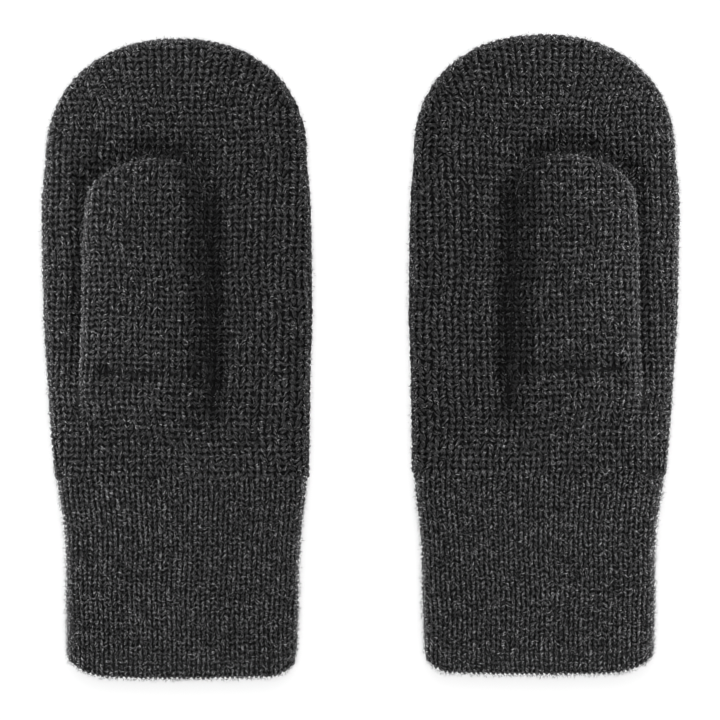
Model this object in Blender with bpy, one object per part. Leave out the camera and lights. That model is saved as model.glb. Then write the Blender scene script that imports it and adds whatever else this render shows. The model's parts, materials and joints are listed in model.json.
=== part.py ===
"""A pair of knitted mittens, laid flat with the palms up and each thumb folded up over its palm.

A mitten runs along +Y from the mouth of its cuff to its rounded tip. A station is a distance from
the mouth. Each mitten is four pieces of knit: a ribbed cuff, which is a tube; a back, which lies on
the surface; a palm, which lies on the back and has a slit; and a thumb, a tube closed at its tip
that comes out of the slit and lies on the palm. The two mittens are mirror images.

Each piece is a loft between unlike sections. Its inner skin has sections of its own, drawn in by the
wall and cut at the same stations, so that the rims that meet at a seam stay level and parallel.
"""

import math
from collections import namedtuple

import bmesh
import bpy
from mathutils import Vector

# Overall layout of the pair
MITTEN_LENGTH = 0.190
CENTRE_TO_CENTRE = 0.1084
RIGHT_LIES_HIGHER = 0.0012

# Cloth
HAND_WALL = 0.0024
CUFF_WALL = 0.0022
SEAM_GAP = 0.0003
SHARPEST_SOFT_FOLD = math.radians(60)

# Cuff. A rib's profile says how far each of its points is sunk, as a share of the rib's depth.
CUFF_LENGTH = 0.060
CUFF_HEIGHT = 0.0056
CUFF_CROWN = 0.0004
RIBS_ACROSS = 50
RIB_DEPTH = 0.00045
RIB_PROFILE = (1.0, 0.0, 0.0)
PLAIN_SPANS_ACROSS = 24
THUMB_SIDE_CORNER = 0.0136
PLAIN_SIDE_CORNER = 0.0080
CORNER_LIFT = 0.0076
CORNER_FADE = 0.021
MOUTH_BOW = 0.0008

# Hand
SHOULDER = 0.1544
TIP_POWER = 2.2
EDGE_ROLL = 0.0033
EDGE_SEAM_HEIGHT = 0.0031
PALM_CROWN = 0.0006

# Thumb, and the slit in the palm that it comes out of
SLIT = 0.0865
SLIT_RAMP = 0.0190
THUMB_SHOULDER = 0.1390
THUMB_TIP = 0.1562
THUMB_ROLL = 0.0032
THUMB_CROWN_SHARE = 0.22
RAMP_SOFTNESS = 0.0085

# The valley that the palm makes beside the thumb
VALLEY_OFFSET = 0.0034
VALLEY_WIDTH = 0.0034
VALLEY_DEPTH = 0.0016
VALLEY_ENDS = (0.0760, 0.1500)
VALLEY_FADE = 0.0120

Section = namedtuple("Section", "station half_width centre height")

CUFF_SECTIONS = (
    Section(0.0000, 0.0342, 0.0012, CUFF_HEIGHT),
    Section(0.0115, 0.0344, 0.0013, CUFF_HEIGHT),
    Section(0.0234, 0.0347, 0.0014, CUFF_HEIGHT),
    Section(0.0353, 0.0348, 0.0015, CUFF_HEIGHT),
    Section(0.0470, 0.0357, 0.0015, CUFF_HEIGHT),
    Section(0.0530, 0.0366, 0.0014, CUFF_HEIGHT),
    Section(0.0600, 0.0374, 0.0012, CUFF_HEIGHT),
)
HAND_SECTIONS = (
    Section(0.0600, 0.0378, 0.0012, 0.0063),
    Section(0.0650, 0.0381, 0.0011, 0.0066),
    Section(0.0768, 0.0387, 0.0007, 0.0071),
    Section(0.0886, 0.0391, 0.0004, 0.0073),
    Section(0.1064, 0.0400, 0.0001, 0.0074),
    Section(0.1242, 0.0402, -0.0001, 0.0074),
    Section(0.1420, 0.0400, -0.0005, 0.0073),
    Section(SHOULDER, 0.0389, -0.0004, 0.0071),
    Section(MITTEN_LENGTH, 0.0389, 0.0001, 0.0062),
)
THUMB_SECTIONS = (
    Section(SLIT, 0.0196, -0.0092, 0.0064),
    Section(0.0980, 0.0190, -0.0092, 0.0066),
    Section(0.1120, 0.0187, -0.0092, 0.0068),
    Section(0.1280, 0.0183, -0.0094, 0.0068),
    Section(THUMB_SHOULDER, 0.0178, -0.0093, 0.0066),
    Section(0.1479, 0.0178, -0.0085, 0.0063),
    Section(THUMB_TIP, 0.0178, -0.0062, 0.0058),
)

# Where the sections stand, and how the points of a rolled edge are spread
PALM_STATIONS = (0.0670, 0.0730, 0.0775, 0.0820)
FINGER_STATIONS = (0.0980, 0.1120, 0.1280, 0.1420)
BACK_STATIONS = (0.0750, 0.0950, 0.1180, 0.1400)
TIP_STATIONS = (SHOULDER, 0.1640, 0.1720, 0.1785, 0.1830, 0.1862, 0.1884, 0.18956)
THUMB_STATIONS = (0.0980, 0.1120, 0.1280, THUMB_SHOULDER, 0.1455, 0.1500, 0.1530, 0.15475, 0.1558)
CUFF_STATIONS = (0.0000, 0.0025, 0.0070, 0.0160, 0.0300, 0.0420, 0.0500)
ROLL_SPREAD = (0.0, 0.134, 0.5, 1.0)
CORNER_SPREAD = (0.62, 1.0)
VALLEY_SPREAD = (0.0012, VALLEY_OFFSET, 0.0058, 0.0090)

Finish = namedtuple("Finish", "name colour roughness")
HAND_FINISH = Finish("hand_knit", (0.032, 0.032, 0.033, 1.0), 0.92)
THUMB_FINISH = Finish("thumb_knit", (0.034, 0.034, 0.035, 1.0), 0.92)
CUFF_FINISH = Finish("cuff_rib", (0.036, 0.036, 0.037, 1.0), 0.92)


def smooth_step(share):
    """0 before 0, 1 after 1, and a soft S between."""
    share = min(1.0, max(0.0, share))
    return share * share * (3 - 2 * share)


def smooth_value(sections, column, station):
    """A column of a table of sections, on a smooth curve through its rows."""
    at = [row.station for row in sections]
    values = [getattr(row, column) for row in sections]
    if station <= at[0]:
        return values[0]
    if station >= at[-1]:
        return values[-1]
    i = max(k for k in range(len(at) - 1) if at[k] <= station)
    slopes = [
        (values[min(k + 1, len(at) - 1)] - values[max(k - 1, 0)])
        / (at[min(k + 1, len(at) - 1)] - at[max(k - 1, 0)])
        for k in (i, i + 1)
    ]
    span = at[i + 1] - at[i]
    t = (station - at[i]) / span
    return (
        values[i] * (1 + 2 * t) * (1 - t) ** 2
        + slopes[0] * span * t * (1 - t) ** 2
        + values[i + 1] * t * t * (3 - 2 * t)
        + slopes[1] * span * t * t * (t - 1)
    )


def rolled(distance, radius):
    """How far up its round edge a surface has come at this distance from its outline, from 0 to 1."""
    inward = min(1.0, max(0.0, distance / radius))
    return math.sqrt(1 - (1 - inward) ** 2)


class Outline:
    """The outline of a flat mitten or thumb: sections up to its shoulder, then a rounded tip."""

    def __init__(self, sections, shoulder, tip):
        self.sections = sections
        self.shoulder = shoulder
        self.tip_length = tip - shoulder

    def centre(self, station):
        return smooth_value(self.sections, "centre", station)

    def height(self, station):
        return smooth_value(self.sections, "height", station)

    def share_of_tip(self, station, inset):
        return max(0.0, (station - self.shoulder) / (self.tip_length - inset))

    def half_width(self, station, inset=0.0):
        full = smooth_value(self.sections, "half_width", min(station, self.shoulder)) - inset
        share = min(1.0, self.share_of_tip(station, inset))
        return full * (1 - share**TIP_POWER) ** (1 / TIP_POWER)

    def inner_station(self, station, inset):
        """The same station on an outline drawn in by inset all round its tip."""
        past = max(0.0, station - self.shoulder)
        return min(station, self.shoulder) + past * (1 - inset / self.tip_length)

    def edge_distance(self, x, station, inset=0.0):
        """About how far a point lies inside the outline."""
        full = smooth_value(self.sections, "half_width", min(station, self.shoulder)) - inset
        across = abs(x - self.centre(station)) / full
        along = self.share_of_tip(station, inset)
        level = (across**TIP_POWER + along**TIP_POWER) ** (1 / TIP_POWER)
        if level < 0.2:
            return full * 0.8
        slope_x = (across / level) ** (TIP_POWER - 1) / full
        slope_y = (along / level) ** (TIP_POWER - 1) / (self.tip_length - inset)
        return max(0.0, (1 - level) / math.hypot(slope_x, slope_y))


HAND = Outline(HAND_SECTIONS, SHOULDER, MITTEN_LENGTH)
THUMB = Outline(THUMB_SECTIONS, THUMB_SHOULDER, THUMB_TIP)
THUMB_LEFT = THUMB.centre(SLIT) - THUMB.half_width(SLIT)
THUMB_RIGHT = THUMB.centre(SLIT) + THUMB.half_width(SLIT)


def palm_height(x, station):
    """The palm's outer height away from its edges, with the valley beside the thumb."""
    across = (x - HAND.centre(station)) / HAND.half_width(min(station, SHOULDER))
    start, end = VALLEY_ENDS
    along = smooth_step((station - start) / VALLEY_FADE) * smooth_step((end - station) / VALLEY_FADE)
    off = (x - THUMB_RIGHT - VALLEY_OFFSET) / VALLEY_WIDTH
    return HAND.height(station) - PALM_CROWN * across**2 - VALLEY_DEPTH * along * math.exp(-off * off)


def thumb_thickness(x, station):
    """The thumb's height over the palm, highest along its middle."""
    across = (x - THUMB.centre(station)) / THUMB.half_width(min(station, THUMB_SHOULDER))
    return THUMB.height(station) * (1 - THUMB_CROWN_SHARE * min(1.0, across**2))


def ramp_height(x, station, inset):
    """How far the palm rises below the slit, up to the front of the thumb."""
    if station > SLIT:
        return 0.0
    rise = smooth_step((station - SLIT + SLIT_RAMP) / SLIT_RAMP)
    inside = THUMB.half_width(SLIT, inset) - abs(x - THUMB.centre(SLIT))
    radius = THUMB_ROLL - inset + (1 - rise) * RAMP_SOFTNESS
    return rise * (SEAM_GAP + thumb_thickness(x, SLIT)) * rolled(inside, radius)


def between(start, end, count):
    """Evenly spaced values strictly between two."""
    return [start + (end - start) * k / (count + 1) for k in range(1, count + 1)]


def palm_columns(station, inset):
    """The palm's points across, close together on its round edges and beside the thumb."""
    half, centre = HAND.half_width(station, inset), HAND.centre(station)
    roll = min(EDGE_ROLL - inset, 0.45 * half)
    squeeze = min(1.0, half / HAND.half_width(VALLEY_ENDS[1], inset))
    left, right = centre - half, centre + half
    thumb_left = centre + (THUMB_LEFT + inset - centre) * squeeze
    thumb_right = centre + (THUMB_RIGHT - inset - centre) * squeeze
    thumb_roll = (THUMB_ROLL - inset) * squeeze
    valley = [centre + (THUMB_RIGHT + step - centre) * squeeze for step in VALLEY_SPREAD]
    columns = [left + roll * k for k in ROLL_SPREAD]
    columns += between(columns[-1], thumb_left, 2)
    columns += [thumb_left + thumb_roll * k for k in ROLL_SPREAD]
    columns += between(columns[-1], thumb_right - thumb_roll, 3)
    columns += [thumb_right - thumb_roll * k for k in reversed(ROLL_SPREAD)]
    columns += valley
    columns += between(valley[-1], right - roll, 2)
    columns += [right - roll * k for k in reversed(ROLL_SPREAD)]
    return columns


SLIT_COLUMNS = (len(ROLL_SPREAD) + 2, 3 * len(ROLL_SPREAD) + 4)


def palm_point(x, station, inset):
    seam = EDGE_SEAM_HEIGHT + SEAM_GAP / 2
    top = palm_height(x, station) - inset
    up = rolled(HAND.edge_distance(x, station, inset), EDGE_ROLL - inset)
    return Vector((x, station, seam + (top - seam) * up + ramp_height(x, station, inset)))


def back_columns(station, inset):
    half, centre = HAND.half_width(station, inset), HAND.centre(station)
    roll = min(EDGE_ROLL - inset, 0.45 * half)
    columns = [centre - half + roll * k for k in ROLL_SPREAD]
    columns += between(columns[-1], centre + half - roll, 4)
    columns += [centre + half - roll * k for k in reversed(ROLL_SPREAD)]
    return columns


def back_point(x, station, inset):
    seam = EDGE_SEAM_HEIGHT - SEAM_GAP / 2
    up = rolled(HAND.edge_distance(x, station, inset), EDGE_ROLL - inset)
    return Vector((x, station, seam + (inset - seam) * up))


def thumb_ring(station, inset):
    """One section of the thumb, round from its right edge over the front to the left and back under."""
    half, centre = THUMB.half_width(station, inset), THUMB.centre(station)
    roll = min(THUMB_ROLL - inset, 0.45 * half)
    front = [centre + half - roll * k for k in ROLL_SPREAD]
    front += between(front[-1], centre - half + roll, 3)
    front += [centre - half + roll * k for k in reversed(ROLL_SPREAD)]
    under = [centre - half + roll * k for k in ROLL_SPREAD[2:]]
    under += between(under[-1], centre + half - roll, 2)
    under += [centre + half - roll * k for k in reversed(ROLL_SPREAD[2:])]
    ring = []
    for number, x in enumerate(front + under):
        low = palm_height(x, station) + SEAM_GAP
        high = low + thumb_thickness(x, station)
        middle = (low + high) / 2
        end = high - inset if number < len(front) else low + inset
        up = rolled(THUMB.edge_distance(x, station, inset), THUMB_ROLL - inset)
        ring.append(Vector((x, station, middle + (end - middle) * up)))
    return ring


def thumb_pole(inset):
    x, station = THUMB.centre(THUMB_TIP), THUMB_TIP - inset
    return Vector((x, station, palm_height(x, station) + SEAM_GAP + THUMB.height(THUMB_TIP) / 2))


def cuff_stadium(half, inset, length):
    """A point at a length along the upper half of the cuff's ring, from the right, and the way it faces."""
    radius = CUFF_HEIGHT / 2 - inset
    quarter = math.pi * radius / 2
    straight = 2 * (half - inset - radius)
    past = min(max(0.0, length - quarter), straight)
    angle = (length - past) / radius
    x = straight / 2 + radius * math.cos(angle) - past
    z = CUFF_HEIGHT / 2 + radius * math.sin(angle)
    return x, z, math.cos(angle), math.sin(angle)


def cuff_upper(station, inset, profile, spans):
    """The upper half of one section of the cuff, from its right edge to its left."""
    half = smooth_value(CUFF_SECTIONS, "half_width", station)
    centre = smooth_value(CUFF_SECTIONS, "centre", station)
    radius = CUFF_HEIGHT / 2 - inset
    total = math.pi * radius + 2 * (half - inset - radius)
    points = []
    for number in range(spans + 1):
        x, z, face_x, face_z = cuff_stadium(half, inset, total * number / spans)
        sunk = RIB_DEPTH * profile[number % len(profile)]
        crown = CUFF_CROWN * (1 - (x / half) ** 2) * face_z
        points.append(Vector((centre + x - sunk * face_x, station, z - sunk * face_z + crown)))
    return points


def cuff_lower(station, inset):
    """The lower half of the section, from left to right, with points for the mouth's round corners."""
    half = smooth_value(CUFF_SECTIONS, "half_width", station)
    centre = smooth_value(CUFF_SECTIONS, "centre", station)
    radius, reach = CUFF_HEIGHT / 2 - inset, half - inset
    across = [-reach + radius * k for k in ROLL_SPREAD[1:]]
    across += [-half + THUMB_SIDE_CORNER * k for k in CORNER_SPREAD]
    across += between(across[-1], half - PLAIN_SIDE_CORNER, 3)
    across += [half - PLAIN_SIDE_CORNER * k for k in reversed(CORNER_SPREAD)]
    across += [reach - radius * k for k in reversed(ROLL_SPREAD[1:])]
    middle = CUFF_HEIGHT / 2
    return [
        Vector((centre + x, station, middle - radius * rolled(reach - abs(x), radius))) for x in across
    ]


def with_mouth_corners(points, half, centre):
    """Draws the rim of the mouth up towards both sides, so that its corners are round."""
    drawn = []
    for point in points:
        across = point.x - centre
        corner = THUMB_SIDE_CORNER if across < 0 else PLAIN_SIDE_CORNER
        past = min(1.0, max(0.0, (abs(across) - half + corner) / corner))
        lift = CORNER_LIFT * (1 - math.sqrt(1 - past * past)) + MOUTH_BOW * (across / half) ** 2
        fade = max(0.0, 1 - point.y / CORNER_FADE)
        drawn.append(Vector((point.x, point.y + lift * fade, point.z)))
    return drawn


def cuff_halves(station, inset, profile, spans):
    """One section of the cuff: ribs over the top and the round sides, and a plain flat underside."""
    half = smooth_value(CUFF_SECTIONS, "half_width", station)
    centre = smooth_value(CUFF_SECTIONS, "centre", station)
    halves = cuff_upper(station, inset, profile, spans), cuff_lower(station, inset)
    return [with_mouth_corners(points, half, centre) for points in halves]


class Cloth:
    """Gathers the points and faces of one piece of knit."""

    def __init__(self):
        self.mesh = bmesh.new()

    def add_rows(self, rows):
        return [[self.mesh.verts.new(point) for point in row] for row in rows]

    def face(self, *corners):
        kept = [c for k, c in enumerate(corners) if c is not corners[k - 1]]
        if len(kept) > 2:
            self.mesh.faces.new(kept)

    def skin(self, rows, closed=False, skip=None):
        """Faces between neighbouring rows. A row of one point closes a tip."""
        for r, (low, high) in enumerate(zip(rows, rows[1:])):
            count = max(len(low), len(high))
            for c in range(count if closed else count - 1):
                if skip and skip(r, c):
                    continue
                a, b = (low[k % len(low)] for k in (c, (c + 1) % count))
                d, e = (high[k % len(high)] for k in (c, (c + 1) % count))
                self.face(a, b, e, d)

    def strip(self, outer, inner):
        """A rim between two lines of points. The inner line may have fewer."""
        last_outer, last_inner = len(outer) - 1, len(inner) - 1
        beside = [round(k * last_inner / last_outer) for k in range(len(outer))]
        for k in range(last_outer):
            self.face(outer[k], outer[k + 1], inner[beside[k + 1]], inner[beside[k]])

    def finish(self, name, side, finish, parent, collection):
        """Makes the object. side is 1 for the left mitten and -1 for its mirror image."""
        for vertex in self.mesh.verts:
            vertex.co.x *= side
        bmesh.ops.triangulate(self.mesh, faces=self.mesh.faces)
        bmesh.ops.recalc_face_normals(self.mesh, faces=self.mesh.faces)
        data = bpy.data.meshes.new(name)
        self.mesh.to_mesh(data)
        self.mesh.free()
        data.shade_smooth()
        data.set_sharp_from_angle(angle=SHARPEST_SOFT_FOLD)
        data.materials.append(material(finish))
        piece = bpy.data.objects.new(name, data)
        piece.parent = parent
        collection.objects.link(piece)
        return piece


def material(finish):
    found = bpy.data.materials.get(finish.name)
    if found:
        return found
    made = bpy.data.materials.new(finish.name)
    made.use_nodes = True
    shader = made.node_tree.nodes["Principled BSDF"]
    shader.inputs["Base Color"].default_value = finish.colour
    shader.inputs["Roughness"].default_value = finish.roughness
    shader.inputs["Metallic"].default_value = 0.0
    made.diffuse_color = finish.colour
    return made


def shell(cloth, stations, columns, point, slit_row=None):
    """A panel's outer and inner skins with a rim all round, and the two lips of its slit."""
    skins = []
    for inset in (0.0, HAND_WALL):
        rows = []
        for station in stations:
            inner = HAND.inner_station(station, inset)
            rows.append([point(x, inner, inset) for x in columns(inner, inset)])
        tip = HAND.inner_station(MITTEN_LENGTH, inset)
        rows.append([point(HAND.centre(tip), tip, inset)])
        skins.append(cloth.add_rows(rows))
    outer, inner = skins
    first, last = SLIT_COLUMNS

    def in_slit(row, column):
        return row == slit_row and first <= column < last

    for skin in skins:
        cloth.skin(skin, skip=in_slit)
    cloth.strip(outer[0], inner[0])
    for edge in (0, -1):
        cloth.strip([row[edge] for row in outer], [row[edge] for row in inner])
    if slit_row is not None:
        loops = [
            skin[slit_row][first : last + 1] + skin[slit_row + 1][first : last + 1][::-1] for skin in skins
        ]
        cloth.strip(*(loop + loop[:1] for loop in loops))


def make_palm(**place):
    cloth = Cloth()
    below = (CUFF_LENGTH + SEAM_GAP / 2, *PALM_STATIONS, SLIT - SEAM_GAP / 2)
    above = (SLIT + SEAM_GAP / 2, *FINGER_STATIONS, *TIP_STATIONS)
    shell(cloth, below + above, palm_columns, palm_point, slit_row=len(below) - 1)
    return cloth.finish(finish=HAND_FINISH, **place)


def make_back(**place):
    cloth = Cloth()
    stations = (CUFF_LENGTH + SEAM_GAP / 2, *BACK_STATIONS, *TIP_STATIONS)
    shell(cloth, stations, back_columns, back_point)
    return cloth.finish(finish=HAND_FINISH, **place)


def make_thumb(**place):
    cloth = Cloth()
    skins = []
    for inset in (0.0, HAND_WALL):
        rows = [
            thumb_ring(THUMB.inner_station(station, inset), inset)
            for station in (SLIT + SEAM_GAP / 2, *THUMB_STATIONS)
        ]
        skins.append(cloth.add_rows(rows + [[thumb_pole(inset)]]))
    for skin in skins:
        cloth.skin(skin, closed=True)
    cloth.strip(*(skin[0] + skin[0][:1] for skin in skins))
    return cloth.finish(finish=THUMB_FINISH, **place)


def make_cuff(**place):
    cloth = Cloth()
    stations = (*CUFF_STATIONS, CUFF_LENGTH - SEAM_GAP / 2)
    skins = []
    kinds = ((0.0, RIB_PROFILE, RIBS_ACROSS * len(RIB_PROFILE)), (CUFF_WALL, (0.0,), PLAIN_SPANS_ACROSS))
    for kind in kinds:
        halves = [cuff_halves(station, *kind) for station in stations]
        skins.append([cloth.add_rows(half) for half in halves])
    for skin in skins:
        cloth.skin([upper + lower for upper, lower in skin], closed=True)
    for end in (0, -1):
        outer, inner = (skin[end] for skin in skins)
        cloth.strip(outer[0], inner[0])
        cloth.strip(*([upper[-1], *lower, upper[0]] for upper, lower in (outer, inner)))
    return cloth.finish(finish=CUFF_FINISH, **place)


def clear_scene():
    for thing in list(bpy.data.objects):
        bpy.data.objects.remove(thing)


def make_mitten(hand, side, collection):
    """One mitten under an empty at the middle of its mouth."""
    anchor = bpy.data.objects.new(hand + "_mitten", None)
    anchor.location = (
        -side * CENTRE_TO_CENTRE / 2,
        -MITTEN_LENGTH / 2 - side * RIGHT_LIES_HIGHER / 2,
        0.0,
    )
    collection.objects.link(anchor)
    makers = {"back": make_back, "palm": make_palm, "cuff": make_cuff, "thumb": make_thumb}
    for piece, maker in makers.items():
        maker(name=f"{hand}_{piece}", side=side, parent=anchor, collection=collection)


def main():
    clear_scene()
    collection = bpy.data.collections.new("knit_mittens")
    bpy.context.scene.collection.children.link(collection)
    make_mitten("left", 1, collection)
    make_mitten("right", -1, collection)


main()
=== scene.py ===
"""The looks of a pair of charcoal wool mittens, laid flat with the palms up.

Each piece of knit is a thin shell on its solid's form, dressed with its stitches. A stitch is a V of
two legs of yarn, and every leg is a bundle of strands, small pointed tubes laid on the cloth's surface.
Loose fibres lie over the stitches and stand out at the edges.

Lengths are in millimetres until a mesh is made. Places on a mitten are x, across it, and a station, a
distance from the mouth of its cuff. The right mitten is a mirror image with stitches of its own.
"""

import json
import math
from collections import namedtuple

import bmesh
import bpy
import numpy as np
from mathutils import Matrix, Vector

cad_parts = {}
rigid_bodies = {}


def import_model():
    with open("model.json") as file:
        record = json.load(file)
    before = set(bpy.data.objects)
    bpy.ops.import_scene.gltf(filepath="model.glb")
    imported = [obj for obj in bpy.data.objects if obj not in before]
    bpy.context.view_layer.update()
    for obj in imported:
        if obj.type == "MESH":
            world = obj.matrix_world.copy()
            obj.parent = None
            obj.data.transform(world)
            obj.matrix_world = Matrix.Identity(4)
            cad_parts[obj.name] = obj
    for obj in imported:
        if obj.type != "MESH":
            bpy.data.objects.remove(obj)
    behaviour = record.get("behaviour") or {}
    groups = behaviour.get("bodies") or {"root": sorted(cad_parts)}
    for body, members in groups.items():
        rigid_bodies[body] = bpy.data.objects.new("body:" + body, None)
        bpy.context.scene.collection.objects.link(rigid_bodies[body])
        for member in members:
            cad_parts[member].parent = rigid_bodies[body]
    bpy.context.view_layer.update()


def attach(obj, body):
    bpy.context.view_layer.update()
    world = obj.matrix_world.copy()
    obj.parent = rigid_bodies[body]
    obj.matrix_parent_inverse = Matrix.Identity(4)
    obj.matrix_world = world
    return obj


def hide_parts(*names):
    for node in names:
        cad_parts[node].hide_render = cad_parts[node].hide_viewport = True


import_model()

MM = 0.001

# The pair, as in the solids
MITTEN_LENGTH = 190.0
CENTRE_TO_CENTRE = 108.4
RIGHT_LIES_HIGHER = 1.2
SEAM_GAP = 0.3

# Cuff
CUFF_LENGTH = 60.0
CUFF_RADIUS = 2.8
CUFF_CROWN = 0.4
CUFF_RIM = 1.1
THUMB_SIDE_CORNER = 13.6
PLAIN_SIDE_CORNER = 8.0
CORNER_LIFT = 7.6
CORNER_FADE = 21.0
MOUTH_BOW = 0.8

# Hand. PALM_LOWEST keeps the palm's hollows above the back.
SHOULDER = 154.4
TIP_POWER = 2.2
EDGE_ROLL = 3.3
EDGE_SEAM_HEIGHT = 3.1
PALM_CROWN = 0.6
PALM_LOWEST = 2.4
EDGE_DROP = 1.3
EDGE_DROP_WIDTH = 9.0

# The thumb, whose tip ends 2.4 mm before its solid's, and the slit that it comes out of
SLIT = 86.5
SLIT_RAMP = 19.0
THUMB_SHOULDER = 139.0
THUMB_TIP = 153.8
THUMB_ROLL = 3.2
THUMB_CROWN_SHARE = 0.26
RAMP_SOFTNESS = 16.0

# The valley that the palm makes beside the thumb
VALLEY_OFFSET = 1.6
VALLEY_WIDTH = 3.4
VALLEY_DEPTH = 3.1
VALLEY_ENDS = (84.0, 150.0)
VALLEY_FADE = 9.0

Section = namedtuple("Section", "station half_width centre height")
CUFF_SECTIONS = (
    Section(0.0, 34.2, 1.2, 5.6),
    Section(11.5, 34.4, 1.3, 5.6),
    Section(23.4, 34.7, 1.4, 5.6),
    Section(35.3, 34.8, 1.5, 5.6),
    Section(47.0, 35.7, 1.5, 5.6),
    Section(53.0, 36.6, 1.4, 5.6),
    Section(60.0, 37.4, 1.2, 5.6),
)
HAND_SECTIONS = (
    Section(60.0, 37.8, 1.2, 6.3),
    Section(65.0, 38.1, 1.1, 6.6),
    Section(76.8, 38.7, 0.7, 7.1),
    Section(88.6, 39.1, 0.4, 7.3),
    Section(106.4, 40.0, 0.1, 7.4),
    Section(124.2, 40.2, -0.1, 7.4),
    Section(142.0, 40.0, -0.5, 7.3),
    Section(SHOULDER, 38.9, -0.4, 7.1),
    Section(MITTEN_LENGTH, 38.9, 0.1, 6.2),
)
THUMB_SECTIONS = (
    Section(SLIT, 19.6, -9.2, 6.4),
    Section(98.0, 19.0, -9.2, 6.6),
    Section(112.0, 18.7, -9.2, 6.8),
    Section(128.0, 18.3, -9.4, 6.8),
    Section(THUMB_SHOULDER, 17.8, -9.3, 6.6),
    Section(147.9, 17.8, -8.5, 6.3),
    Section(THUMB_TIP, 17.8, -6.2, 5.8),
)

# The palm sinks round the thumb, little on its inner side and most above its tip
Trough = namedtuple("Trough", "offset width depth")
INNER_TROUGH = Trough(1.0, 2.6, 0.3)
OUTER_TROUGH = Trough(1.0, 2.2, 1.3)
TIP_TROUGH = Trough(1.7, 3.8, 2.9)
TROUGH_BELOW_SLIT = 3.0
TROUGH_FADE = 12.0

# How quickly one trough gives way to the next as the thumb's edge turns
TURN_TO_INNER = 0.7
TURN_TO_TIP = 1.4

# The thumb slopes down towards its inner side. Near its tip the slope starts nearer the middle.
INNER_SLOPE = 3.2
INNER_SLOPE_START = 0.52
TIP_CORNER = 0.12
TIP_CORNER_START = 138.0
TIP_CORNER_LENGTH = 18.0

# Slow waves in the cloth: their lengths across and along over 2 pi, their shift, and their share
Swell = namedtuple("Swell", "across along shift share")
CROSSED_SWELL = Swell(5.3, 7.1, 1.7, 0.6)
SLANTED_SWELL = Swell(11.7, 9.4, 2.3, 0.4)
UNEVEN_HEIGHT = 0.16
PALM_PHASE = 0.4
THUMB_PHASE = 2.6

# Creases: soft troughs from a start to an end, bowed to one side
Crease = namedtuple("Crease", "start_x start_y end_x end_y bow width depth")
PALM_CREASES = (
    Crease(-15.5, 157.2, 7.5, 151.2, 1.8, 3.5, 2.3),
    Crease(9.6, 92.0, 12.4, 83.0, 0.8, 3.0, 1.1),
    Crease(-31.0, 147.5, -13.0, 159.0, 0.8, 4.0, 1.3),
    Crease(-30.5, 81.0, -11.0, 74.0, 0.7, 4.2, 1.9),
    Crease(-24.0, 70.5, -3.0, 72.5, -0.9, 2.2, 0.35),
    Crease(4.5, 80.0, 19.0, 77.0, 0.8, 2.2, 0.4),
    Crease(14.0, 99.0, 30.0, 95.5, 0.6, 2.4, 0.3),
    Crease(13.5, 121.0, 27.0, 124.5, -0.7, 2.0, 0.25),
    Crease(-12.0, 164.0, 6.0, 166.0, 0.9, 2.6, 0.3),
    Crease(17.0, 139.0, 31.0, 146.0, 0.8, 2.4, 0.25),
    Crease(34.2, 118.0, 33.0, 172.0, 0.5, 1.0, 0.35),
    Crease(-35.4, 112.0, -34.6, 164.0, -0.5, 1.0, 0.3),
)
THUMB_CREASES = (
    Crease(-28.5, 91.0, -15.0, 89.6, 0.9, 1.6, 1.2),
    Crease(-23.0, 91.4, 11.5, 91.0, -0.6, 2.1, 3.3),
    Crease(-19.0, 98.5, -6.0, 100.5, -0.7, 1.8, 0.25),
    Crease(-22.0, 113.0, -8.0, 116.0, 0.8, 2.0, 0.2),
    Crease(-13.0, 131.0, 2.0, 128.5, 0.6, 1.9, 0.2),
)
BACK_CREASES = (
    Crease(-30.0, 84.0, -12.0, 88.0, 0.9, 2.4, 0.4),
    Crease(8.0, 101.0, 27.0, 97.0, -0.8, 2.6, 0.35),
    Crease(-18.0, 121.0, 1.0, 124.0, 0.7, 2.2, 0.3),
    Crease(4.0, 149.0, 24.0, 144.0, 0.9, 2.5, 0.35),
)

# Gauge of the knit
CUFF_WALES_ROUND = 50
CUFF_COURSE = 1.461
TURNED_IN_ROWS = 2
HAND_WALES = (-13, 12)
THUMB_WALES = (-10, 5)
HAND_WALE = 3.63
FIRST_WIDE_WALE = 2.5
WALE_GROWTH = 0.124
HAND_COURSE = 1.927
FAN_START = 165.0
TIP_FAN = 0.22

# Where the stitches begin and end: past the cuff, past an edge, past a tip and under the thumb
FIRST_ROW = 0.55
EDGE_OVERLAP = 1.3
PAST_HAND_TIP = 3.0
PAST_THUMB_TIP = 5.0
HIDDEN_UNDER_THUMB = 3.5

# How far the middle of the yarn and the shell under it lie below the solid's face
YARN_SINK = 0.34
UNDERSIDE_SINK = 0.52
HAND_SHELL_SINK = 1.02
BACK_SHELL_SINK = 0.75
HIDDEN_SHELL_SINK = 0.3
CUFF_SHELL_SINK = 1.15
EDGE_SINK_SHARE = 0.5
EDGE_SINK_WIDTH = 3.0
TUCKED_SINK = 1.45

# The shells, and how finely they are divided
SHELL_WALL = 0.4
HAND_SHELL_START = CUFF_LENGTH + SEAM_GAP / 2
THUMB_SHELL_START = SLIT + SEAM_GAP / 2
Fineness = namedtuple("Fineness", "row_step tip_rows columns")
FINE = Fineness(1.7, 32, 47)
COARSE = Fineness(3.4, 20, 27)
EDGE_GATHER = 1.35
CUFF_TUCK = 1.6
WELD_REACH = 2e-5

# The cuff's shell: its rows inside the mouth and over the rim, each as first, last and number
CUFF_SHELL_COLUMNS = 60
MOUTH_ROWS = (-8.0, -1.0, 6)
RIM_ROWS = (-0.5, 3.0, 8)
FIRST_PLAIN_ROW = 4.0

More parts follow.
